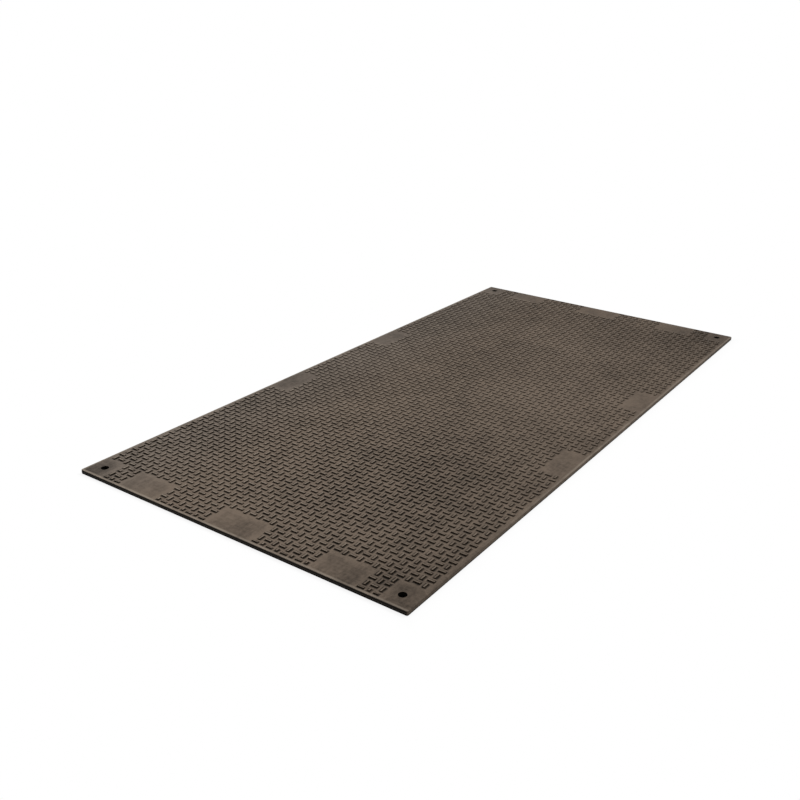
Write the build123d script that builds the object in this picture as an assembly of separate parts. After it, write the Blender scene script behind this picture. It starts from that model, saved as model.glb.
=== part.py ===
from build123d import *
import os

# Ground protection mat: one moulded plastic plate with a raised tread of short bars on its top face.
# Millimetres. X runs along the mat, Y across it and Z up; the origin is the middle of the underside.

# Plate
length = 2463.8
width = 1219.2
plate_thickness = 14.3
corner_radius = 6.35
edge_bevel = 2.0
wall_draft = 4.0

# Corner holes, for a joining pin or a ground stake
hole_diameter = 23.8
hole_inset = 50.8

# Tread: a bar on each place of a square lattice, turned a quarter from one place to the next. A bar
# that the border or a pad cuts into is cropped there, and left out if less than a share of it is left.
# These are the moulding's own sizes.
tread_pitch = 25.4
bar_length = 22.5
bar_width = 6.35
bar_height = 3.2
bar_draft = 15.0
plain_border = 12.0
least_share = 0.5

# The solid carries the tread this many times coarser, in plan only, which keeps its pattern and its
# share of the face with a seventh of the bars. 1 gives every bar at its own size.
coarseness = 2.6

# Plain pads, where the tread is left out: one in each corner, three on each end and two on each side
corner_pad_length = 101.6
corner_pad_width = 98.4
end_pad_depth = 101.6
end_pad_length = 152.4
middle_end_pad_length = 177.8
end_pad_spacing = 368.3
side_pad_depth = 88.9
side_pad_length = 177.8
side_pad_spacing = 609.6


class Patch:
    """A rectangle on the top face, from x0 to x1 and from y0 to y1."""

    def __init__(self, x0, x1, y0, y1):
        self.x0, self.x1, self.y0, self.y1 = x0, x1, y0, y1

    @classmethod
    def around(cls, x, y, size_x, size_y):
        return cls(x - size_x / 2, x + size_x / 2, y - size_y / 2, y + size_y / 2)

    @property
    def size(self):
        return max(0, self.x1 - self.x0), max(0, self.y1 - self.y0)

    @property
    def area(self):
        return self.size[0] * self.size[1]

    @property
    def middle(self):
        return (self.x0 + self.x1) / 2, (self.y0 + self.y1) / 2

    def within(self, other):
        """What of this patch lies in the other one."""
        return Patch(
            max(self.x0, other.x0), min(self.x1, other.x1), max(self.y0, other.y0), min(self.y1, other.y1)
        )

    def clear_of(self, other):
        """The largest stretch of this patch that the other one leaves uncovered."""
        if self.within(other).area == 0:
            return self
        stretches = [
            Patch(self.x0, other.x0, self.y0, self.y1),
            Patch(other.x1, self.x1, self.y0, self.y1),
            Patch(self.x0, self.x1, self.y0, other.y0),
            Patch(self.x0, self.x1, other.y1, self.y1),
        ]
        return max(stretches, key=lambda stretch: stretch.area)


def plate():
    """The plate without its tread: the walls draft both ways from a parting line at mid-height."""
    parting_plane = Plane.XY.offset(plate_thickness / 2)
    outline = parting_plane * RectangleRounded(length, width, corner_radius)
    body = extrude(outline, plate_thickness / 2, both=True, taper=wall_draft)
    faces = body.faces().sort_by(Axis.Z)
    body = chamfer(faces[0].edges() + faces[-1].edges(), edge_bevel)
    drill = Pos(0, 0, plate_thickness / 2) * Cylinder(hole_diameter / 2, 2 * plate_thickness)
    corners = GridLocations(length - 2 * hole_inset, width - 2 * hole_inset, 2, 2)
    return body - [corner * drill for corner in corners]


def pads():
    """The plain pads. Each reaches in from the mat's edge by its own depth."""
    patches = []
    for end in (-length / 2, length / 2):
        for side in (-width / 2, width / 2):
            patches.append(Patch.around(end, side, 2 * corner_pad_length, 2 * corner_pad_width))
        for y in (-end_pad_spacing, end_pad_spacing):
            patches.append(Patch.around(end, y, 2 * end_pad_depth, end_pad_length))
        patches.append(Patch.around(end, 0, 2 * end_pad_depth, middle_end_pad_length))
    for side in (-width / 2, width / 2):
        for x in (-side_pad_spacing / 2, side_pad_spacing / 2):
            patches.append(Patch.around(x, side, side_pad_length, 2 * side_pad_depth))
    return patches


def bar_patches():
    """The footprints of the bars, counted out from the middle and cropped at the border and the pads."""
    pitch = tread_pitch * coarseness
    along_x = (bar_length * coarseness, bar_width * coarseness)
    along_y = (bar_width * coarseness, bar_length * coarseness)
    field = Patch.around(0, 0, length - 2 * plain_border, width - 2 * plain_border)
    columns = int(field.x1 / pitch)
    rows = int(field.y1 / pitch)
    plain = pads()
    patches = []
    for row in range(-rows, rows + 1):
        for column in range(-columns, columns + 1):
            size = along_x if (row + column) % 2 else along_y
            bar = Patch.around(column * pitch, row * pitch, *size).within(field)
            for pad in plain:
                bar = bar.clear_of(pad)
            if bar.area >= least_share * size[0] * size[1]:
                patches.append(bar)
    return patches


def tread():
    """The raised bars, drafted on all four sides. Bars of one size are copies of one solid."""
    shapes = {}
    bars = []
    for patch in bar_patches():
        size = tuple(round(side, 3) for side in patch.size)
        if size not in shapes:
            shapes[size] = extrude(Rectangle(*size), bar_height, taper=bar_draft)
        bars.append(Pos(*patch.middle, plate_thickness) * shapes[size])
    return bars


mat = plate() + tread()

os.makedirs("parts", exist_ok=True)
export_step(mat, "parts/mat.step")
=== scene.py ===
"""Looks of the ground protection mat: its moulded skin with every tread bar, its plastic, light and camera.

The mat's shapes are worked out in millimetres, and turned into metres as their points are stored. The
materials, the floor, the lights and the camera are in metres.
"""

import math

import bpy
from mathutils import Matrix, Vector


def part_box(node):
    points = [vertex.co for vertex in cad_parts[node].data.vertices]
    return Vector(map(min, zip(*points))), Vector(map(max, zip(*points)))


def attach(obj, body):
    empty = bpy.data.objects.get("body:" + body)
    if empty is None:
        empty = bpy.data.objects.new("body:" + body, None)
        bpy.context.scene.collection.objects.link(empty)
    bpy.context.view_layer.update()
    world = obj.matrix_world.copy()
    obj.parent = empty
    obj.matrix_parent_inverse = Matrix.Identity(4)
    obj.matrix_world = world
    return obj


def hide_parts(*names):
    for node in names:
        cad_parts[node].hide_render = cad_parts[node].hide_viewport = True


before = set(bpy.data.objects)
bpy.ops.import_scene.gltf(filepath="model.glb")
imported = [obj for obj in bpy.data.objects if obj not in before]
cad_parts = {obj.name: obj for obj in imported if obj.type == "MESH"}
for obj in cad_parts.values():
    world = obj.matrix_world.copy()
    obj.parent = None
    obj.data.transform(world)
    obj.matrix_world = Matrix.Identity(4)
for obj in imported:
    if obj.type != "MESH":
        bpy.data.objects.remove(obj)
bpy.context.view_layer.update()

MM = 0.001

# The mat. Its overall sizes are the frame's own.
low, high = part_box("mat")
LENGTH = (high.x - low.x) / MM
WIDTH = (high.y - low.y) / MM
PLATE = 14.3
CORNER_RADIUS = 6.35
CORNER_STEPS = 6
RIM_RADIUS = 2.0
RIM_STEPS = 5
WALL_DRAFT = 4.0
SHARP_ANGLE = 50.0

# The faint bead that the mould leaves on the parting line: how far it stands out, and half its height
BEAD = 0.22
BEAD_HALF = 0.4

# The corner holes, with a rounded lip on top and a small bevel at the foot
HOLE_RADIUS = 11.9
HOLE_INSET = 50.8
HOLE_LIP = 1.0
LIP_STEPS = 3
HOLE_FOOT = 0.5
HOLE_STEPS = 48
HOLE_X = LENGTH / 2 - HOLE_INSET
HOLE_Y = WIDTH / 2 - HOLE_INSET

# The tread: a bar on each place of a square lattice, turned a quarter from one place to the next. A bar
# that the border or a pad cuts into is cropped there, and left out if less than a share of it is left.
PITCH = 25.4
BAR_LENGTH = 22.5
BAR_WIDTH = 6.35
BAR_HEIGHT = 3.2
BAR_DRAFT = 15.0
BAR_BEVEL = 0.45
BAR_CORNER = 1.3
BAR_TOP_CORNER = 0.8 * BAR_CORNER
PLAIN_BORDER = 12.0
LEAST_SHARE = 0.35
COLUMNS = int((LENGTH / 2 - PLAIN_BORDER) / PITCH)
ROWS = int((WIDTH / 2 - PLAIN_BORDER) / PITCH)

# The flat sides are laid out in the lattice's cells. The outermost lines between those lie at LAST_X and
# LAST_Y, each hole takes a block of whole cells, and the underside keeps one line in UNDERSIDE_STEP.
LAST_X = (COLUMNS - 0.5) * PITCH
LAST_Y = (ROWS + 0.5) * PITCH
HOLE_CELLS = (2, 3)
HOLE_BLOCK = (HOLE_CELLS[0] * PITCH, HOLE_CELLS[1] * PITCH)
UNDERSIDE_STEP = 7

# The plain pads: the corners' size along X and Y, and (middle, length) of each on an end or a side
CORNER_PAD = (101.6, 98.4)
END_PADS = [(-368.3, 152.4), (0.0, 177.8), (368.3, 152.4)]
END_PAD_DEPTH = 101.6
SIDE_PADS = [(-304.8, 177.8), (304.8, 177.8)]
SIDE_PAD_DEPTH = 88.9

# This attribute tells the material where the tread is: full at the bars' feet, where grime and painted
# shade lie, and less between them. It is 0 on plain stretches.
STAIN_AND_SHADE_AT_FOOT = 1.0
STAIN_AND_SHADE_BETWEEN = 0.3

# The bare plastic, the grime on bare bars, the dried film, the same along the edge at +Y, and the paler
# rubbed film, which also serves for painted highlights
BLACK = (0.0045, 0.0038, 0.0031, 1.0)
GRIME = (0.0125, 0.0070, 0.0026, 1.0)
FILM = (0.166, 0.128, 0.098, 1.0)
GREYER_FILM = (0.159, 0.131, 0.108, 1.0)
RUBBED_AND_HIGHLIGHT = (0.265, 0.221, 0.178, 1.0)

# How thick the film is on plain stretches, and how much it varies with each pattern
FILM_LEVEL = 0.71
PATTERN_SHARES = {"broad": 0.7, "patchy": 0.9, "fine": 0.9, "smear": 0.5, "scuff": 0.3}

# Stretches made lighter or darker through the film's level: (x, y, reach, change)
SPOTS = [
    (-1.18, -0.56, 0.38, -0.15),
    (-1.25, 0.61, 0.14, -0.42),
    (-1.13, 0.37, 0.28, 0.14),
    (-0.30, 0.57, 0.35, -0.12),
    (-0.72, 0.46, 0.35, -0.10),
    (-0.41, 0.00, 0.40, -0.06),
    (0.20, -0.40, 0.80, 0.10),
    (1.18, -0.56, 0.35, -0.30),
    (1.10, -0.30, 0.35, -0.07),
]

# The plate's arris is paler, rubbed wear and a painted highlight both. It is so in full up to the first
# distance from its edge, and fades out by the second
ARRIS = (0.004, 0.011)

# What lies this near to the mat's edge is the plate's outer wall
OUTER_WALL = 0.003

# The floor. From DARK_FROM in under the mat it is painted dark as painted shade, and it shows a share of
# its real shade up to SHADE_REACH away from the mat.
FLOOR_HALF = 14.0
PALE = (0.8, 0.8, 0.8, 1.0)
WHITE = (1.0, 1.0, 1.0, 1.0)
PAINTED_SHADE_UNDER_MAT = (0.02, 0.017, 0.014, 1.0)
DARK_FROM = 0.005
SHADE_REACH = 0.05
SHADE_SHARE = 0.14

# The light: an even world, a large lamp above the mat and a soft sun from the +X, -Y side
WORLD_LIGHT = 0.2
OVERHEAD = {"place": (-0.6, 0.9, 2.8), "target": (-0.3, 0.2, 0.0), "size": (3.6, 2.4), "watts": 42.0}
SUN = {"toward": (0.80, -0.35, 1.0), "strength": 1.9, "spread": 28.0}

# The camera, as solved from the photo's lattice of bars and the mat's edges
CAMERA_PLACE = (-2.77146, -1.66366, 1.37602)
CAMERA_TURN = (66.53, -1.1775, -55.4237)
CAMERA_LENS = 42.522
CAMERA_SHIFT = -0.0212


class Skin:
    """Faces over shared points. Points that agree to a thousandth of a millimetre are one."""

    def __init__(self):
        self.points = []
        self.faces = []
        self.known = {}
        self.stain_and_shade = {}
        self.downward = False

    def point(self, x, y, z):
        key = (round(x, 3), round(y, 3), round(z, 3))
        if key not in self.known:
            self.known[key] = len(self.points)
            self.points.append((x * MM, y * MM, z * MM))
        return self.known[key]

    def face(self, *ring):
        """A face whose points are given as seen from above, also on the side that looks down."""
        face = [self.point(*point) for point in ring]
        self.faces.append(face[::-1] if self.downward else face)

    def mark(self, ring, stain_and_shade):
        for point in ring:
            self.stain_and_shade[self.point(*point)] = stain_and_shade

    def band(self, inner, outer):
        """Quads between two closed rings of as many points. Seen from outside, inner lies within outer."""
        for k in range(len(inner)):
            n = (k + 1) % len(inner)
            self.face(inner[k], outer[k], outer[n], inner[n])

    def bridge(self, inner, outer, centre):
        """The same between rings whose numbers of points differ, in triangles."""

        def turn(point):
            return math.atan2(point[1] - centre[1], point[0] - centre[0]) % (2 * math.pi)

        inner = sorted(inner, key=turn)
        outer = sorted(outer, key=turn)
        i = o = 0
        while i < len(inner) or o < len(outer):
            if i == len(inner) or (o < len(outer) and turn(outer[o]) <= turn(inner[i])):
                self.face(inner[i - 1], outer[o - 1], outer[o])
                o += 1
            else:
                self.face(inner[i - 1], outer[o - 1], inner[i])
                i += 1


def around(x, y, size_x, size_y):
    """A patch, (x0, x1, y0, y1), about its middle."""
    return (x - size_x / 2, x + size_x / 2, y - size_y / 2, y + size_y / 2)


def overlap(a, b):
    return (max(a[0], b[0]), min(a[1], b[1]), max(a[2], b[2]), min(a[3], b[3]))


def area(patch):
    return max(0.0, patch[1] - patch[0]) * max(0.0, patch[3] - patch[2])


def clear_of(patch, pad):
    """The largest stretch of the patch that the pad leaves uncovered."""
    if area(overlap(patch, pad)) == 0:
        return patch
    x0, x1, y0, y1 = patch
    stretches = [(x0, pad[0], y0, y1), (pad[1], x1, y0, y1), (x0, x1, y0, pad[2]), (x0, x1, pad[3], y1)]
    return max(stretches, key=area)


def corners(patch, z=PLATE):
    x0, x1, y0, y1 = patch
    return [(x0, y0, z), (x1, y0, z), (x1, y1, z), (x0, y1, z)]


def pads():
    """The plain pads. Each reaches in from the mat's edge by its own depth."""
    patches = []
    for end in (-LENGTH / 2, LENGTH / 2):
        for side in (-WIDTH / 2, WIDTH / 2):
            patches.append(around(end, side, 2 * CORNER_PAD[0], 2 * CORNER_PAD[1]))
        for middle, length in END_PADS:
            patches.append(around(end, middle, 2 * END_PAD_DEPTH, length))
    for side in (-WIDTH / 2, WIDTH / 2):
        for middle, length in SIDE_PADS:
            patches.append(around(middle, side, length, 2 * SIDE_PAD_DEPTH))
    return patches


def bar_in(cell, plain):
    """The footprint of the bar in a cell, or None where the border or a pad takes it."""
    column = round((cell[0] + cell[1]) / 2 / PITCH)
    row = round((cell[2] + cell[3]) / 2 / PITCH)
    size = (BAR_LENGTH, BAR_WIDTH) if (column + row) % 2 else (BAR_WIDTH, BAR_LENGTH)
    field = around(0, 0, LENGTH - 2 * PLAIN_BORDER, WIDTH - 2 * PLAIN_BORDER)
    bar = overlap(around(column * PITCH, row * PITCH, *size), field)
    for pad in plain:
        bar = clear_of(bar, pad)
    return bar if area(bar) >= LEAST_SHARE * BAR_LENGTH * BAR_WIDTH else None


def cut_rectangle(patch, inset, cut, z):
    """The eight points of a rectangle whose corners are cut off, by a third of a side at most."""
    x0, x1, y0, y1 = patch[0] + inset, patch[1] - inset, patch[2] + inset, patch[3] - inset
    cut = min(cut, (x1 - x0) / 3, (y1 - y0) / 3)
    points = [(x0 + cut, y0), (x1 - cut, y0), (x1, y0 + cut), (x1, y1 - cut)]
    points += [(x1 - cut, y1), (x0 + cut, y1), (x0, y1 - cut), (x0, y0 + cut)]
    return [(x, y, z) for x, y in points]


def raise_bar(skin, cell, bar):
    """The plate's face round a bar, the bar's drafted walls, its worn edge and its top."""
    foot = corners(bar)
    skin.band(foot, corners(cell))
    skin.mark(foot, STAIN_AND_SHADE_AT_FOOT)
    skin.mark(corners(cell), STAIN_AND_SHADE_BETWEEN)
    rise = BAR_HEIGHT - BAR_BEVEL
    lean = rise * math.tan(math.radians(BAR_DRAFT))
    shoulder = cut_rectangle(bar, lean, BAR_CORNER, PLATE + rise)
    top = cut_rectangle(bar, lean + BAR_BEVEL, BAR_TOP_CORNER, PLATE + BAR_HEIGHT)
    for k in range(4):
        skin.face(foot[k], foot[(k + 1) % 4], shoulder[2 * k + 1], shoulder[2 * k])
        skin.face(foot[k], shoulder[2 * k], shoulder[2 * k - 1])
    skin.band(top, shoulder)
    skin.face(*top)


def quarter_turn(steps):
    """Angles from 0 to 90 degrees, in radians."""
    return [math.radians(90 * k / steps) for k in range(steps + 1)]


def corner_arc(side_x, side_y, inset):
    """A corner's arc, counterclockwise, that far in from the widest outline."""
    centre = (side_x * (LENGTH / 2 - CORNER_RADIUS), side_y * (WIDTH / 2 - CORNER_RADIUS))
    start = {(1, -1): -90, (1, 1): 0, (-1, 1): 90, (-1, -1): 180}[side_x, side_y]
    angles = [math.radians(start) + a for a in quarter_turn(CORNER_STEPS)]
    radius = CORNER_RADIUS - inset
    return [(centre[0] + radius * math.cos(a), centre[1] + radius * math.sin(a)) for a in angles]


def lattice_lines():
    """Where the lines between the cells of the lattice cross the mat's length and its width."""
    xs = [(k + 0.5) * PITCH for k in range(-COLUMNS, COLUMNS)]
    ys = [(k + 0.5) * PITCH for k in range(-ROWS - 1, ROWS + 1)]
    return xs, ys


def thinned(lines, block):
    """The lines that the underside keeps: those beside the hole blocks, and one in a few between them."""
    last = len(lines) - 1
    kept = {0, *range(block, last - block, UNDERSIDE_STEP), last - block, last}
    return [lines[k] for k in sorted(kept)]


def outline(inset, z, xs, ys):
    """A ring round the mat, that far in from the widest outline, with a point at each of the lines."""
    half_x, half_y = LENGTH / 2 - inset, WIDTH / 2 - inset
    ring = [(x, -half_y) for x in xs] + corner_arc(1, -1, inset)
    ring += [(half_x, y) for y in ys] + corner_arc(1, 1, inset)
    ring += [(x, half_y) for x in reversed(xs)] + corner_arc(-1, 1, inset)
    ring += [(-half_x, y) for y in reversed(ys)] + corner_arc(-1, -1, inset)
    return [(x, y, z) for x, y in ring]


def rim_profile():
    """(inset, height) of the rings from the top to the parting line: arris, drafted wall and bead."""
    half = PLATE / 2
    lean = BEAD + math.tan(math.radians(WALL_DRAFT)) * (half - RIM_RADIUS)
    profile = []
    for a in quarter_turn(RIM_STEPS):
        profile.append((lean + RIM_RADIUS * (1 - math.sin(a)), PLATE - RIM_RADIUS * (1 - math.cos(a))))
    return profile + [(BEAD, half + BEAD_HALF), (0.0, half)]


def edge(skin, lines, kept):
    """The plate's edge. Below the parting line it mirrors the upper half with fewer points."""
    upper = [outline(inset, z, *lines) for inset, z in rim_profile()]
    lower = [outline(inset, PLATE - z, *kept) for inset, z in reversed(rim_profile()[:-1])]
    for above, below in zip(upper, upper[1:]):
        skin.band(above, below)
    skin.bridge(upper[-1], lower[0], (0.0, 0.0))
    for above, below in zip(lower, lower[1:]):
        skin.band(above, below)


def hole_ring(centre, radius, z):
    angles = [2 * math.pi * k / HOLE_STEPS for k in range(HOLE_STEPS)]
    return [(centre[0] + radius * math.cos(a), centre[1] + radius * math.sin(a), z) for a in angles]


def block_ring(centre):
    """The lattice's points on the outline of a hole's block."""
    across_x, across_y = HOLE_CELLS
    ring = []
    for i in range(across_x + 1):
        for j in range(across_y + 1):
            if i in (0, across_x) or j in (0, across_y):
                x, y = centre[0] + (i - across_x / 2) * PITCH, centre[1] + (j - across_y / 2) * PITCH
                ring.append((x, y, PLATE))
    return ring


def hole(skin, side_x, side_y):
    """A corner hole with its lip and foot, in its blocks of the top face and of the underside."""
    centre = (side_x * HOLE_X, side_y * HOLE_Y)
    profile = []
    for a in quarter_turn(LIP_STEPS):
        profile.append((HOLE_RADIUS + HOLE_LIP * (1 - math.sin(a)), PLATE - HOLE_LIP * (1 - math.cos(a))))
    profile += [(HOLE_RADIUS, HOLE_FOOT), (HOLE_RADIUS + HOLE_FOOT, 0.0)]
    rings = [hole_ring(centre, radius, z) for radius, z in profile]
    skin.bridge(rings[0], block_ring(centre), centre)
    for upper, lower in zip(rings, rings[1:]):
        skin.band(lower, upper)
    skin.downward = True
    skin.bridge(rings[-1], corners(around(*centre, *HOLE_BLOCK), 0.0), centre)
    skin.downward = False


def corner_piece(skin, side_x, side_y, z, rim):
    """The rounded cell in a corner of a flat side."""
    inner_x, inner_y = side_x * LAST_X, side_y * LAST_Y
    half_x, half_y = side_x * (LENGTH / 2 - rim), side_y * (WIDTH / 2 - rim)
    points = corner_arc(side_x, side_y, rim) + [(inner_x, half_y), (inner_x, inner_y), (half_x, inner_y)]
    middle = ((inner_x + half_x) / 2, (inner_y + half_y) / 2)
    points.sort(key=lambda p: math.atan2(p[1] - middle[1], p[0] - middle[0]))
    skin.face(*[(x, y, z) for x, y in points])


def flat_side(skin, z, rim, lines, fill):
    """A flat side of the plate, without the blocks of the holes. fill makes the faces of a cell."""
    xs = [rim - LENGTH / 2, *lines[0], LENGTH / 2 - rim]
    ys = [rim - WIDTH / 2, *lines[1], WIDTH / 2 - rim]
    for x0, x1 in zip(xs, xs[1:]):
        for y0, y1 in zip(ys, ys[1:]):
            x, y = (x0 + x1) / 2, (y0 + y1) / 2
            if abs(abs(x) - HOLE_X) < HOLE_BLOCK[0] / 2 and abs(abs(y) - HOLE_Y) < HOLE_BLOCK[1] / 2:
                continue
            if abs(x) > LAST_X and abs(y) > LAST_Y:
                corner_piece(skin, math.copysign(1, x), math.copysign(1, y), z, rim)
            else:
                fill((x0, x1, y0, y1))


def mat_skin():
    """The whole moulding: the face with its tread, the plain underside, the edge and the holes."""
    skin = Skin()
    lines = lattice_lines()
    kept = [thinned(crossing, cells) for crossing, cells in zip(lines, HOLE_CELLS)]
    rim = rim_profile()[0][0]
    plain = pads()

    def upper_cell(cell):
        bar = bar_in(cell, plain)
        if bar:
            raise_bar(skin, cell, bar)
        else:
            skin.face(*corners(cell))

    def lower_cell(cell):
        skin.face(*corners(cell, 0.0))

    flat_side(skin, PLATE, rim, lines, upper_cell)
    skin.downward = True
    flat_side(skin, 0.0, rim, kept, lower_cell)
    skin.downward = False
    edge(skin, lines, kept)
    for side_x in (-1, 1):
        for side_y in (-1, 1):
            hole(skin, side_x, side_y)
    return skin


class Nodes:
    """A node tree in the making."""

    def __init__(self, tree):
        self.tree = tree
        tree.nodes.clear()

    def add(self, kind, inputs=None, **settings):
        node = self.tree.nodes.new(kind)
        for name, value in settings.items():
            setattr(node, name, value)
        for name, value in (inputs or {}).items():
            if isinstance(value, bpy.types.NodeSocket):
                self.tree.links.new(value, node.inputs[name])
            else:
                node.inputs[name].default_value = value
        return node

    def math(self, operation, a, b=0.0, c=0.0, clamp=False):
        node = self.add("ShaderNodeMath", {0: a, 1: b, 2: c}, operation=operation, use_clamp=clamp)
        return node.outputs[0]

    def times(self, a, b):
        return self.math("MULTIPLY", a, b)

    def larger(self, a, b):
        return self.math("MAXIMUM", a, b)

    def noise(self, coordinates, scale, detail=3.0, roughness=0.5, distortion=0.0):
        values = {"Vector": coordinates, "Scale": scale, "Detail": detail}
        values |= {"Roughness": roughness, "Distortion": distortion}
        return self.add("ShaderNodeTexNoise", values).outputs["Fac"]

    def stretched(self, coordinates, scale, turn=0.0):
        values = {"Vector": coordinates, "Scale": scale, "Rotation": (0.0, 0.0, math.radians(turn))}
        return self.add("ShaderNodeMapping", values).outputs["Vector"]

    def ramp(self, value, start, end, low=0.0, high=1.0):
        """low up to start, high from end on, and a smooth step between them."""
        values = {"Value": value, "From Min": start, "From Max": end, "To Min": low, "To Max": high}
        return self.add("ShaderNodeMapRange", values, interpolation_type="SMOOTHSTEP").outputs["Result"]

    def blend(self, factor, a, b):
        return self.add("ShaderNodeMix", {0: factor, 6: a, 7: b}, data_type="RGBA").outputs[2]


def new_material(name):
    material = bpy.data.materials.new(name)
    material.use_nodes = True
    return material, Nodes(material.node_tree)


class Surface:
    """Where a point of the mat lies and how it faces, and the patterns that more than one look needs."""

    def __init__(self, nodes):
        self.place = nodes.add("ShaderNodeTexCoord").outputs["Object"]
        self.x, self.y, self.z = nodes.add("ShaderNodeSeparateXYZ", {0: self.place}).outputs
        normal = nodes.add("ShaderNodeNewGeometry").outputs["Normal"]
        facing = nodes.add("ShaderNodeSeparateXYZ", {0: normal}).outputs
        self.facing_y = facing["Y"]
        self.facing_up = facing["Z"]
        self.from_end = nodes.math("SUBTRACT", LENGTH / 2 * MM, nodes.math("ABSOLUTE", self.x))
        self.from_side = nodes.math("SUBTRACT", WIDTH / 2 * MM, nodes.math("ABSOLUTE", self.y))
        self.toward_far_end = nodes.ramp(self.x, -1.15, 0.25)
        self.stain_and_shade = nodes.add("ShaderNodeAttribute", attribute_name="stain_and_shade").outputs["Fac"]
        self.patchy = nodes.noise(self.place, 13.0, 5.0, 0.65, 0.3)
        self.fine = nodes.noise(self.place, 70.0, 4.0, 0.7)


def film_level_with_light_and_shade(nodes, at):
    """How thick the film lies: thickest between the bars, where this is painted light against their shade,
    thinnest round their feet, where it is grime and painted shade both, and uneven all over.

    The tread marks it most at the -X end, and less along the edge at -Y.
    """
    patterns = {
        "broad": nodes.noise(at.place, 2.2, 3.0, 0.55, 0.4),
        "patchy": at.patchy,
        "fine": at.fine,
        "smear": nodes.noise(nodes.stretched(at.place, (2.5, 22.0, 1.0), 14.0), 5.0, 5.0, 0.7),
        "scuff": nodes.noise(nodes.stretched(at.place, (40.0, 3.0, 1.0), -20.0), 4.0, 4.0, 0.6),
    }
    marks = nodes.ramp(at.y, -0.6, -0.1, 0.7, 1.0)
    # Painted light: the film is raised between the bars, against the shade they cast on the plate
    between = nodes.times(nodes.ramp(at.toward_far_end, 0.0, 1.0, 0.25, 0.11), marks)
    level = nodes.math("MULTIPLY_ADD", nodes.ramp(at.stain_and_shade, 0.0, STAIN_AND_SHADE_BETWEEN), between, FILM_LEVEL)
    for name, share in PATTERN_SHARES.items():
        around_zero = nodes.math("SUBTRACT", patterns[name], 0.5)
        level = nodes.math("MULTIPLY_ADD", around_zero, share, level)
    for x, y, reach, change in SPOTS:
        away = nodes.add("ShaderNodeVectorMath", {0: at.place, 1: (x, y, 0.0)}, operation="DISTANCE")
        level = nodes.math("ADD", nodes.ramp(away.outputs["Value"], 0.0, reach, change, 0.0), level)
    # Grime and painted shade: the film is thinned round the bars' feet, most toward the -X end
    foot = nodes.ramp(at.toward_far_end, 0.0, 1.0, -0.88, -0.36)
    foot = nodes.times(nodes.ramp(at.stain_and_shade, 0.50, 0.88), foot)
    return nodes.math("MULTIPLY_ADD", foot, marks, level)


def film_hold(nodes, at):
    """How much of the film holds: all of it on what faces up, and little on the walls.

    More holds on the bars' walls toward the +X end, and most on the plate's long wall at -Y.
    """
    flat = nodes.ramp(at.facing_up, 0.5, 0.97)
    above_plate = nodes.math("GREATER_THAN", at.z, (PLATE + 0.05) * MM)
    bars = nodes.times(nodes.ramp(at.toward_far_end, 0.0, 1.0, 0.0, 0.48), above_plate)
    outer = nodes.math("LESS_THAN", nodes.math("MINIMUM", at.from_end, at.from_side), OUTER_WALL)
    splashed = nodes.ramp(at.facing_y, -0.25, -0.75, 0.05, 1.0)
    splashed = nodes.times(splashed, nodes.ramp(at.z, 0.001, 0.007))
    return nodes.larger(flat, nodes.larger(bars, nodes.times(splashed, outer)))


def rubbing_and_highlights(nodes, at):
    """Where the film is painted paler, as rubbed wear and painted highlight both: the arris of the plate,
    and the bars' tops with their edges. The highlights are brighter toward the +Y side.
    """
    ends = nodes.times(nodes.ramp(at.x, -1.0, 1.0, 1.0, 0.1), nodes.ramp(at.y, -0.6, 0.1, 0.75, 1.0))
    ends = nodes.times(nodes.ramp(at.from_end, *ARRIS, 1.0, 0.0), ends)
    sides = nodes.larger(nodes.ramp(at.x, -1.0, -0.2, 0.05, 0.7), nodes.ramp(at.y, 0.0, 0.1, 0.0, 0.75))
    sides = nodes.times(nodes.ramp(at.from_side, *ARRIS, 1.0, 0.0), sides)
    arris = nodes.times(nodes.larger(ends, sides), nodes.ramp(at.facing_up, 0.3, 0.6))
    arris = nodes.times(arris, nodes.ramp(at.patchy, 0.3, 0.65, 0.45, 0.95))
    # The bars' tops are paler: rubbed wear and painted highlights, brighter toward +Y
    full_height = PLATE + BAR_HEIGHT
    tops = nodes.ramp(at.z, (full_height - 0.5) * MM, (full_height - 0.1) * MM)
    tops = nodes.times(tops, nodes.ramp(at.fine, 0.3, 0.7, 0.35, 0.75))
    tops = nodes.times(tops, nodes.ramp(at.y, -0.6, 0.3, 0.45, 1.2))
    return nodes.larger(arris, tops)


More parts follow.
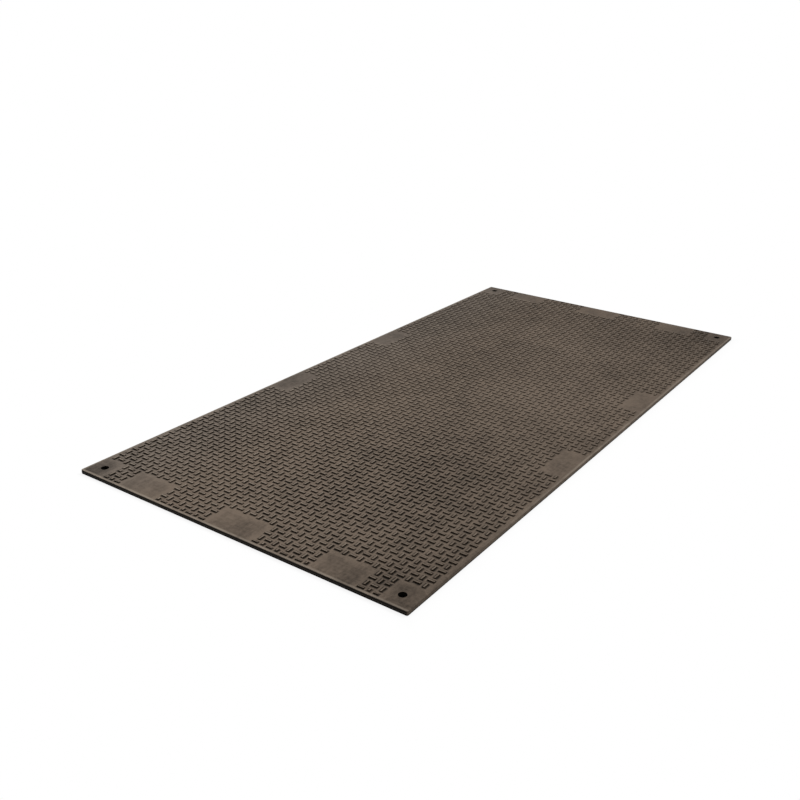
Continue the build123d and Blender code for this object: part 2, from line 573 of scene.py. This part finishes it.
def moulded_plastic():
    """Black recycled plastic under a brown-grey film of dried dust, rubbed paler in places. Painted
    highlights lie on the arris and the bars' tops, and painted shade round the bars' feet.
    """
    material, nodes = new_material("moulded_plastic")
    at = Surface(nodes)

    bare = nodes.blend(nodes.ramp(at.z, PLATE * MM, (PLATE + 0.2) * MM), BLACK, GRIME)
    film = nodes.blend(nodes.ramp(at.y, 0.2, 0.6), FILM, GREYER_FILM)
    # The film's share, which also carries the painted shade at the bars' feet and the painted light between
    # them
    dust_light_and_shade = nodes.math("MULTIPLY", film_level_with_light_and_shade(nodes, at), film_hold(nodes, at), clamp=True)
    colour = nodes.blend(dust_light_and_shade, bare, film)
    colour = nodes.blend(rubbing_and_highlights(nodes, at), colour, RUBBED_AND_HIGHLIGHT)
    # The bead is painted a little paler: a painted highlight along the parting line
    bead = nodes.math("COMPARE", at.z, PLATE / 2 * MM, BEAD_HALF * MM)
    colour = nodes.blend(nodes.times(bead, 0.15), colour, RUBBED_AND_HIGHLIGHT)

    rough = nodes.math("MULTIPLY_ADD", at.patchy, 0.2, 0.55)
    rough = nodes.math("MULTIPLY_ADD", at.fine, 0.12, rough)
    grain = nodes.noise(at.place, 900.0, 2.0, 0.6)
    swell = nodes.math("MULTIPLY_ADD", grain, 0.35, at.fine)
    bump = nodes.add("ShaderNodeBump", {"Height": swell, "Strength": 0.3, "Distance": 0.0006})
    finish = {"Base Color": colour, "Roughness": rough, "Normal": bump.outputs["Normal"]}
    finish |= {"IOR": 1.49, "Specular IOR Level": 0.06}
    shader = nodes.add("ShaderNodeBsdfPrincipled", finish)
    nodes.add("ShaderNodeOutputMaterial", {"Surface": shader.outputs["BSDF"]})
    return material


def new_object(name, data):
    made = bpy.data.objects.new(name, data)
    bpy.context.scene.collection.objects.link(made)
    return made


def build_mat():
    skin = mat_skin()
    mesh = bpy.data.meshes.new("mat_moulding")
    mesh.from_pydata(skin.points, [], skin.faces)
    stain_and_shade = mesh.attributes.new("stain_and_shade", "FLOAT", "POINT")
    stain_and_shade.data.foreach_set("value", [skin.stain_and_shade.get(k, 0.0) for k in range(len(skin.points))])
    mesh.shade_smooth()
    mesh.set_sharp_from_angle(angle=math.radians(SHARP_ANGLE))
    mesh.materials.append(moulded_plastic())
    mat = new_object("mat_moulding", mesh)
    weighted = mat.modifiers.new("weighted_normals", "WEIGHTED_NORMAL")
    weighted.mode = "FACE_AREA"
    weighted.keep_sharp = True
    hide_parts("mat")
    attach(mat, "root")


def seen_as_background(nodes):
    """1 for rays that should meet plain white: from the camera, off gloss and through glass."""
    rays = nodes.add("ShaderNodeLightPath").outputs
    seen = nodes.larger(rays["Is Camera Ray"], rays["Is Glossy Ray"])
    return nodes.larger(seen, rays["Is Transmission Ray"])


def floor_material():
    """Pale floor that looks white, apart from painted shade under the mat and a little real shade round it.
    """
    material, nodes = new_material("floor")
    place = nodes.add("ShaderNodeTexCoord").outputs["Object"]
    x, y = nodes.add("ShaderNodeSeparateXYZ", {0: place}).outputs[:2]
    beyond_x = nodes.math("SUBTRACT", nodes.math("ABSOLUTE", x), LENGTH / 2 * MM)
    beyond_y = nodes.math("SUBTRACT", nodes.math("ABSOLUTE", y), WIDTH / 2 * MM)
    beyond = nodes.larger(beyond_x, beyond_y)
    under = nodes.math("LESS_THAN", beyond, -DARK_FROM)
    seen = seen_as_background(nodes)
    # Under the mat the ground is painted dark: painted shade, seen through the holes
    ground = nodes.blend(under, nodes.blend(seen, PALE, WHITE), PAINTED_SHADE_UNDER_MAT)
    shade = nodes.add("ShaderNodeBsdfDiffuse", {"Color": ground})
    white = nodes.add("ShaderNodeEmission", {"Color": WHITE, "Strength": 1.0})
    share = nodes.larger(nodes.ramp(beyond, 0.0, SHADE_REACH, SHADE_SHARE, 0.0), under)
    factor = nodes.times(seen, nodes.math("SUBTRACT", 1.0, share))
    surface = nodes.add("ShaderNodeMixShader", {0: factor, 1: shade.outputs[0], 2: white.outputs[0]})
    nodes.add("ShaderNodeOutputMaterial", {"Surface": surface.outputs[0]})
    return material


def build_floor():
    mesh = bpy.data.meshes.new("floor")
    square = corners(around(0, 0, 2 * FLOOR_HALF, 2 * FLOOR_HALF), 0.0)
    mesh.from_pydata(square, [], [(0, 1, 2, 3)])
    mesh.materials.append(floor_material())
    floor = new_object("floor", mesh)


def build_world():
    world = bpy.data.worlds.new("studio")
    bpy.context.scene.world = world
    world.use_nodes = True
    nodes = Nodes(world.node_tree)
    strength = nodes.ramp(seen_as_background(nodes), 0.0, 1.0, WORLD_LIGHT, 1.0)
    background = nodes.add("ShaderNodeBackground", {"Color": WHITE, "Strength": strength})
    nodes.add("ShaderNodeOutputWorld", {"Surface": background.outputs[0]})


def area_light(name, place, target, size, watts):
    light = bpy.data.lights.new(name, "AREA")
    light.shape = "RECTANGLE"
    light.size, light.size_y = size
    light.energy = watts
    lamp = new_object(name, light)
    lamp.location = place
    lamp.rotation_euler = (Vector(target) - Vector(place)).to_track_quat("-Z", "Y").to_euler()


def sun(name, toward, strength, spread):
    """Even light from that direction, softened over an angle."""
    light = bpy.data.lights.new(name, "SUN")
    light.angle = math.radians(spread)
    light.energy = strength
    lamp = new_object(name, light)
    lamp.rotation_euler = Vector(toward).to_track_quat("Z", "Y").to_euler()


def build_camera():
    camera = bpy.data.cameras.new("camera")
    camera.sensor_width = 36.0
    camera.lens = CAMERA_LENS
    camera.shift_x = CAMERA_SHIFT
    camera.clip_end = 100.0
    holder = new_object("camera", camera)
    holder.location = CAMERA_PLACE
    holder.rotation_euler = [math.radians(angle) for angle in CAMERA_TURN]
    bpy.context.scene.camera = holder


build_camera()
build_mat()
build_floor()
build_world()
area_light("overhead", **OVERHEAD)
sun("key", **SUN)

view = bpy.context.scene.view_settings
view.view_transform = "Standard"
